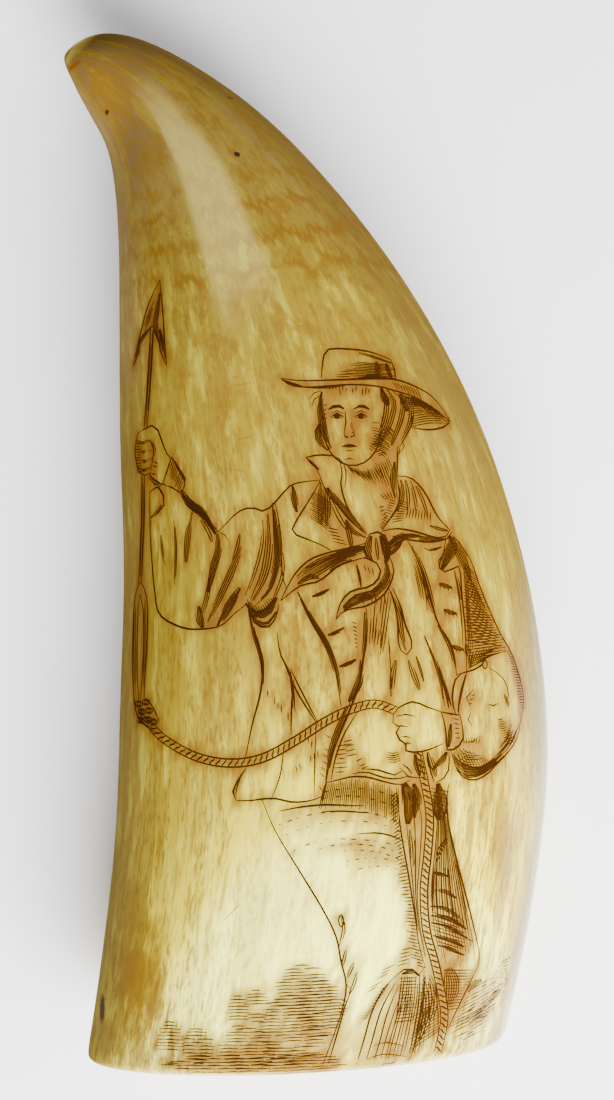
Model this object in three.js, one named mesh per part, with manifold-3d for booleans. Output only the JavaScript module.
// A scrimshaw whale tooth that lies on its broad side. Millimetres, +Z up.
// The tip points to +Y and hooks towards -X, and the flat cut root faces -Y.
// The origin is under the middle of the tooth, on the ground.

import * as THREE from "three";
import { mergeVertices } from "three/addons/utils/BufferGeometryUtils.js";
import Module from "manifold-3d";

// Driving dimensions
const toothLength = 164.6;
const rimRadius = 2.5;
const flatDepth = 0.45;
const cavityDepth = 48;
const rootWall = 12;
const mouthBevel = 1;
const lineWidth = 0.55;
const lineDepth = 0.35;
const ropeWidth = 1.2;

// Fineness of the facets
const sidesRound = 48;
const ringsPerStation = 3;
const rimSteps = 3;
const cavityRings = 6;
const lineStep = 3.4;

// How a line is cut: the cutter stands proud of the surface, and its ends are fine
const cutterProud = 0.15;
const lineEndShare = 0.45;
const slopeProbe = 0.2;

// The form of the tooth, from the root cut to the tip, as drawn at toothLength.
// Each station has its point on the concave and on the convex edge, the thickness as a
// share of the width, and how far the underside has lifted off the ground.
const stations = [
  { concave: [-38.8, -79.2], convex: [27.4, -79.2], thickness: 0.74, lift: 0 },
  { concave: [-35.6, -63.3], convex: [32.9, -57.9], thickness: 0.74, lift: 0 },
  { concave: [-32.3, -42.9], convex: [36.5, -35.8], thickness: 0.74, lift: 0 },
  { concave: [-30.7, -22.4], convex: [36.1, -16.0], thickness: 0.745, lift: 0 },
  { concave: [-29.2, -1.8], convex: [33.0, 3.1], thickness: 0.75, lift: 0.3 },
  { concave: [-28.9, 18.8], convex: [27.4, 21.8], thickness: 0.775, lift: 1.2 },
  { concave: [-28.2, 37.8], convex: [18.7, 40.2], thickness: 0.8, lift: 3.0 },
  { concave: [-27.8, 52.9], convex: [7.4, 57.3], thickness: 0.825, lift: 5.4 },
  { concave: [-28.7, 64.9], convex: [-5.2, 71.5], thickness: 0.85, lift: 8.2 },
  { concave: [-31.8, 72.0], convex: [-19.1, 81.6], thickness: 0.875, lift: 11.0 },
  { concave: [-34.0, 76.8], convex: [-28.9, 84.7], thickness: 0.9, lift: 13.6 },
  { concave: [-35.1, 81.6], convex: [-35.1, 81.6], thickness: 0.92, lift: 17.8 },
];

// The engraved drawing, seen from straight above, as drawn at toothLength.
// Each list holds the few points that a smooth stroke runs through. Strokes that run off
// the root stop where its rim starts to round.
const footGap = 0.5;
const foot = stations[0].concave[1] + rimRadius + footGap;
const harpoon = [
  [[-20.9, 43.0], [-22.9, 39.3], [-24.4, 34.9], [-25.8, 30.0]],
  [[-20.9, 43.0], [-20.6, 38.4], [-20.5, 33.9], [-20.3, 29.5]],
  [[-25.8, 30.0], [-24.3, 33.1], [-22.4, 36.0]],
  [[-22.4, 36.0], [-21.3, 33.1], [-20.3, 29.5]],
  [[-22.4, 36.0], [-22.9, 30.7], [-23.6, 25.3], [-24.2, 20.2]],
  [[-24.7, 11.1], [-25.6, 3.5], [-26.0, -3.4]],
  [[-26.0, -3.4], [-27.2, -6.5], [-27.6, -13.5], [-27.7, -20.2], [-27.1, -22.9]],
  [[-26.0, -3.4], [-25.1, -6.6], [-25.4, -13.5], [-26.2, -20.1], [-27.1, -22.9]],
];
const raisedArm = [
  [[-23.9, 10.9], [-25.3, 13.1], [-25.9, 15.9], [-25.7, 18.7], [-24.2, 20.2], [-21.9, 20.0],
    [-20.8, 18.0], [-20.0, 15.3]],
  [[-20.0, 15.3], [-18.8, 13.2], [-17.9, 11.0]],
  [[-23.7, 10.9], [-24.3, 5.0], [-24.4, -1.6], [-23.3, -8.6], [-19.7, -11.0], [-15.0, -11.3],
    [-11.1, -9.6], [-8.5, -7.5]],
  [[-17.9, 11.0], [-15.6, 7.3], [-13.6, 3.2]],
  [[-13.6, 3.2], [-11.7, 5.3], [-9.3, 6.5], [-5.6, 6.8], [-3.1, 8.8], [-0.6, 10.2], [2.5, 10.5]],
  [[-5.0, 7.5], [-4.3, 2.5], [-5.0, -3.6], [-7.4, -8.7]],
];
const headAndHat = [
  [[3.5, 26.0], [4.0, 29.4], [6.7, 30.6], [10.8, 29.9], [14.3, 28.6], [15.1, 25.5]],
  [[-2.9, 26.3], [1.7, 25.8], [7.8, 26.0], [14.3, 25.6], [19.3, 23.8], [22.3, 21.2], [23.1, 18.8]],
  [[-2.9, 26.3], [0.4, 24.8], [7.0, 24.8], [12.1, 24.5], [15.1, 22.1], [18.0, 18.1], [21.1, 17.4],
    [23.1, 18.8]],
  [[3.2, 23.1], [3.3, 18.5], [4.8, 14.6], [7.6, 12.4], [10.9, 13.7], [13.0, 16.8]],
  [[13.9, 23.8], [16.3, 22.4], [17.0, 19.7], [15.5, 17.1], [13.9, 15.3], [13.3, 13.4]],
  [[2.4, 23.4], [2.2, 20.5], [2.6, 17.1], [3.6, 15.1]],
];
const collar = [
  [[5.8, 13.1], [3.0, 14.2], [0.3, 13.5]],
  [[0.3, 13.5], [2.6, 9.5], [5.6, 5.2], [9.0, 1.5]],
  [[5.8, 13.1], [6.5, 8.5], [9.2, 1.5]],
  [[14.1, 11.1], [16.9, 8.4], [19.7, 5.0], [22.3, 1.4]],
  [[22.3, 1.4], [19.0, 0.6], [15.4, 1.1], [12.4, 2.3]],
  [[14.1, 11.1], [14.0, 6.5], [12.4, 2.3]],
  [[2.5, 10.5], [0.2, 6.7], [-2.1, 3.0]],
  [[-2.1, 3.0], [3.6, -0.5]],
];
const neckerchief = [
  [[8.9, 1.6], [10.6, 2.4], [12.4, 1.7], [12.4, -0.3], [10.9, -1.4], [9.1, -0.6], [8.9, 1.6]],
  [[9.0, 0.9], [4.7, -0.8], [0.0, -3.9], [-4.1, -7.4]],
  [[9.5, -1.2], [5.4, -3.6], [0.7, -6.5], [-4.1, -7.4]],
  [[9.9, -1.4], [8.3, -4.3], [6.2, -6.9], [4.1, -9.7]],
  [[12.3, -0.6], [12.9, -3.6], [11.5, -6.6], [7.6, -8.4], [4.1, -9.7]],
];
const jacket = [
  [[-9.5, -7.7], [-7.7, -13.2], [-7.4, -19.3], [-9.1, -26.3], [-11.2, -32.4], [-13.1, -36.8]],
  [[-13.1, -36.8], [-10.4, -37.3], [-7.0, -37.0], [-3.1, -38.0], [0.5, -37.4]],
  [[-5.0, -12.6], [-2.1, -18.3], [-0.1, -24.8], [0.2, -31.1], [-0.1, -37.1]],
  [[8.5, -9.2], [8.7, -14.3], [6.7, -21.1], [3.6, -28.0], [1.2, -35.2]],
  [[21.9, 0.5], [25.3, -4.7], [28.4, -11.8], [30.9, -18.9], [32.4, -25.5], [31.0, -31.0],
    [27.6, -34.3], [24.5, -36.0], [22.0, -34.7], [20.4, -32.3]],
  [[20.3, -2.8], [22.2, -10.5], [22.9, -18.1], [21.9, -25.3]],
];
const loweredHand = [
  [[12.1, -25.6], [13.2, -24.0], [15.9, -23.9], [18.9, -25.4], [19.9, -28.0], [18.8, -30.7],
    [16.2, -31.5], [13.2, -30.1], [11.9, -27.8], [12.1, -25.6]],
  [[19.1, -25.4], [22.1, -26.8], [22.6, -29.6], [20.0, -31.1]],
];
const trousers = [
  [[1.0, -35.2], [5.6, -34.8], [12.3, -35.0], [17.2, -36.0], [19.8, -35.4]],
  [[-8.5, -37.2], [-5.1, -44.5], [-1.5, -51.4], [1.6, -57.8], [2.6, -63.6], [2.2, -69.1],
    [0.3, -73.0], [-1.1, foot]],
  [[12.3, -36.7], [12.8, -45.8], [13.6, -54.2], [14.8, -64.3]],
  [[19.6, -35.7], [20.1, -43.7], [21.6, -51.2], [23.2, -58.4], [23.0, -63.6], [20.6, -68.7],
    [17.3, -74.4]],
  [[14.8, -64.3], [11.2, -63.2], [7.3, -65.2], [4.4, -69.5], [2.9, -73.0], [1.8, foot]],
  [[14.8, -64.3], [14.0, -69.7], [12.5, foot]],
];
const ropeRoutes = [
  [[-26.1, -25.3], [-23.1, -28.3], [-18.9, -30.5], [-13.9, -31.6], [-8.2, -31.1], [-2.4, -28.8],
    [2.8, -25.8], [6.9, -23.6], [9.9, -23.4], [12.3, -24.4]],
  [[15.6, -31.2], [16.5, -37.3], [16.5, -43.8], [15.2, -51.3], [15.1, -58.2], [16.7, -64.9],
    [17.4, -70.9], [17.0, foot]],
];

// Scale of everything drawn by hand
const tipStation = stations.length - 1;
const drawnHeights = stations.flatMap((s) => [s.concave[1], s.convex[1]]);
const drawnLength = Math.max(...drawnHeights) - Math.min(...drawnHeights);
const scale = toothLength / drawnLength;

function scaledPoint([x, y]) {
  return new THREE.Vector2(x * scale, y * scale);
}

// One outline runs up the concave edge, round the tip and down the convex edge
const outline = new THREE.SplineCurve([
  ...stations.map((s) => scaledPoint(s.concave)),
  ...stations.slice(0, tipStation).reverse().map((s) => scaledPoint(s.convex)),
]);
const stationPitch = scaledPoint(stations[0].concave).distanceTo(scaledPoint(stations[2].concave)) / 2;
const rimSpan = rimRadius / stationPitch;

function between(values, u) {
  const index = Math.min(Math.floor(u), values.length - 2);
  return THREE.MathUtils.lerp(values[index], values[index + 1], u - index);
}

// The oval at a place u, counted in stations from the root: its middle, the unit vector
// across it, and its half width and half thickness.
function ovalAt(u) {
  const concave = outline.getPoint(u / (2 * tipStation));
  const convex = outline.getPoint(1 - u / (2 * tipStation));
  const across = convex.clone().sub(concave);
  const fullHalfWidth = across.length() / 2;
  const fullHalfThickness = fullHalfWidth * between(stations.map((s) => s.thickness), u);
  const towardsFace = Math.max(0, 1 - u / rimSpan);
  const inset = rimRadius * (1 - Math.sqrt(1 - towardsFace * towardsFace));
  const lift = scale * between(stations.map((s) => s.lift), u);
  return {
    middle: concave.add(convex).multiplyScalar(0.5),
    across: across.normalize(),
    height: fullHalfThickness + lift - flatDepth,
    halfWidth: fullHalfWidth - inset,
    halfThickness: fullHalfThickness - inset,
  };
}

// The points of an oval, anticlockwise seen from the root, none below the ground
function ovalPoints(oval) {
  const points = [];
  for (let side = 0; side < sidesRound; side += 1) {
    const angle = (2 * Math.PI * side) / sidesRound;
    const reach = oval.halfWidth * Math.cos(angle);
    const height = oval.height + oval.halfThickness * Math.sin(angle);
    points.push(new THREE.Vector3(
      oval.middle.x + reach * oval.across.x,
      oval.middle.y + reach * oval.across.y,
      Math.max(height, 0),
    ));
  }
  return points;
}

// A closed skin over rings of points, from one end point to the other
function skinOver(startPoint, rings, endPoint) {
  const points = [startPoint, ...rings.flat(), endPoint];
  const sides = rings[0].length;
  const last = points.length - 1;
  const triangles = [];
  for (let side = 0; side < sides; side += 1) {
    const next = (side + 1) % sides;
    triangles.push(0, 1 + side, 1 + next);
    triangles.push(last, last - sides + next, last - sides + side);
    for (let ring = 0; ring < rings.length - 1; ring += 1) {
      const low = 1 + ring * sides;
      const high = low + sides;
      triangles.push(low + side, high + next, low + next);
      triangles.push(low + side, high + side, high + next);
    }
  }
  const geometry = new THREE.BufferGeometry().setFromPoints(points);
  geometry.setIndex(triangles);
  return geometry;
}

// The pulp cavity narrows from its mouth in the root cut to a blunt end
function cavityRingAt(depth) {
  const mouth = ovalAt(0);
  const oval = ovalAt(depth / stationPitch);
  const share = 1 - (depth / cavityDepth) ** 1.6;
  const bevel = Math.max(0, mouthBevel - depth);
  oval.halfWidth = (mouth.halfWidth + rimRadius - rootWall) * share + bevel;
  oval.halfThickness = (mouth.halfThickness + rimRadius - rootWall) * share + bevel;
  return oval;
}

function cavityDepths() {
  const depths = [0, mouthBevel];
  for (let ring = 1; ring < cavityRings; ring += 1) {
    depths.push(cavityDepth * Math.sin((Math.PI / 2) * (ring / cavityRings)));
  }
  return depths;
}

function bodyPlaces() {
  const places = [];
  for (let step = 0; step <= rimSteps; step += 1) {
    places.push(rimSpan * (1 - Math.cos((Math.PI / 2) * (step / rimSteps))));
  }
  const stepCount = ringsPerStation * tipStation;
  for (let step = 1; step < stepCount; step += 1) {
    places.push(step / ringsPerStation);
  }
  return places.filter((place, index) => index <= rimSteps || place > 1.5 * rimSpan);
}

function uncutTooth() {
  const cavityEnd = ovalAt(cavityDepth / stationPitch);
  const tip = ovalAt(tipStation);
  const rings = [
    ...cavityDepths().reverse().map((depth) => ovalPoints(cavityRingAt(depth))),
    ...bodyPlaces().map((place) => ovalPoints(ovalAt(place))),
  ];
  return skinOver(
    new THREE.Vector3(cavityEnd.middle.x, cavityEnd.middle.y, cavityEnd.height),
    rings,
    new THREE.Vector3(tip.middle.x, tip.middle.y, tip.height),
  );
}

// Height of the upper surface over a point of the drawing
function surfaceHeight(x, y) {
  const point = new THREE.Vector2(x, y);
  let low = 0;
  let high = tipStation - 0.05;
  for (let halving = 0; halving < 24; halving += 1) {
    const middle = (low + high) / 2;
    const oval = ovalAt(middle);
    const ahead = point.clone().sub(oval.middle).cross(oval.across) < 0;
    if (ahead) {
      low = middle;
    } else {
      high = middle;
    }
  }
  const oval = ovalAt(low);
  const share = point.sub(oval.middle).dot(oval.across) / oval.halfWidth;
  return oval.height + oval.halfThickness * Math.sqrt(Math.max(0, 1 - share * share));
}

function surfaceNormal(x, y) {
  const slopeX = (surfaceHeight(x + slopeProbe, y) - surfaceHeight(x - slopeProbe, y)) / (2 * slopeProbe);
  const slopeY = (surfaceHeight(x, y + slopeProbe) - surfaceHeight(x, y - slopeProbe)) / (2 * slopeProbe);
  return new THREE.Vector3(-slopeX, -slopeY, 1).normalize();
}

// The V-shaped cutter of one engraved line, along a smooth curve over the surface
function lineCutter(curve) {
  const steps = Math.max(2, Math.round(curve.getLength() / lineStep));
  const rings = [];
  for (let step = 0; step <= steps; step += 1) {
    const place = curve.getPointAt(step / steps);
    const heading = curve.getTangentAt(step / steps);
    const normal = surfaceNormal(place.x, place.y);
    const size = step === 0 || step === steps ? lineEndShare : 1;
    const halfWidth = (size * lineWidth * (1 + cutterProud / lineDepth)) / 2;
    const onSurface = new THREE.Vector3(place.x, place.y, surfaceHeight(place.x, place.y));
    const along = new THREE.Vector3(heading.x, heading.y, 0);
    const sideways = along.cross(normal).normalize().multiplyScalar(halfWidth);
    const top = onSurface.clone().addScaledVector(normal, cutterProud);
    const bottom = onSurface.clone().addScaledVector(normal, -lineDepth * size);
    rings.push([top.clone().add(sideways), top.clone().sub(sideways), bottom]);
  }
  const middleOf = (ring) => ring[0].clone().add(ring[1]).add(ring[2]).multiplyScalar(1 / 3);
  return skinOver(middleOf(rings[0]), rings, middleOf(rings[steps]));
}

// A rope is drawn as two lines, half its width to either side of its route
function ropeSides(route) {
  const middle = new THREE.SplineCurve(route.map(scaledPoint));
  const count = route.length;
  return [-0.5, 0.5].map((share) => {
    const points = [];
    for (let index = 0; index < count; index += 1) {
      const place = middle.getPoint(index / (count - 1));
      const heading = middle.getTangent(index / (count - 1));
      place.x -= heading.y * ropeWidth * share;
      place.y += heading.x * ropeWidth * share;
      points.push(place);
    }
    return new THREE.SplineCurve(points);
  });
}

function engravedCurves() {
  const strokes = [harpoon, raisedArm, headAndHat, collar, neckerchief, jacket, loweredHand, trousers];
  return [
    ...strokes.flat().map((points) => new THREE.SplineCurve(points.map(scaledPoint))),
    ...ropeRoutes.flatMap(ropeSides),
  ];
}

// Joining and cutting of closed solids
const wasm = await Module();
wasm.setup();

function solidFrom(geometry) {
  const merged = mergeVertices(geometry, 1e-5);
  return new wasm.Manifold(new wasm.Mesh({
    numProp: 3,
    vertProperties: new Float32Array(merged.attributes.position.array),
    triVerts: new Uint32Array(merged.index.array),
  }));
}

function geometryFrom(solid) {
  const mesh = solid.getMesh();
  const geometry = new THREE.BufferGeometry();
  geometry.setAttribute("position", new THREE.BufferAttribute(mesh.vertProperties, 3));
  geometry.setIndex(new THREE.BufferAttribute(mesh.triVerts, 1));
  geometry.computeVertexNormals();
  return geometry;
}

const cutters = wasm.Manifold.union(engravedCurves().map((curve) => solidFrom(lineCutter(curve))));
const toothGeometry = geometryFrom(solidFrom(uncutTooth()).subtract(cutters));
toothGeometry.computeBoundingBox();
const footprint = toothGeometry.boundingBox.getCenter(new THREE.Vector3());

const ivory = new THREE.MeshStandardMaterial({ color: 0xd8c48a, roughness: 0.3, metalness: 0 });
const tooth = new THREE.Mesh(toothGeometry, ivory);
tooth.name = "tooth";
tooth.position.set(-footprint.x, -footprint.y, -toothGeometry.boundingBox.min.z);

const group = new THREE.Group();
group.add(tooth);

export default group;
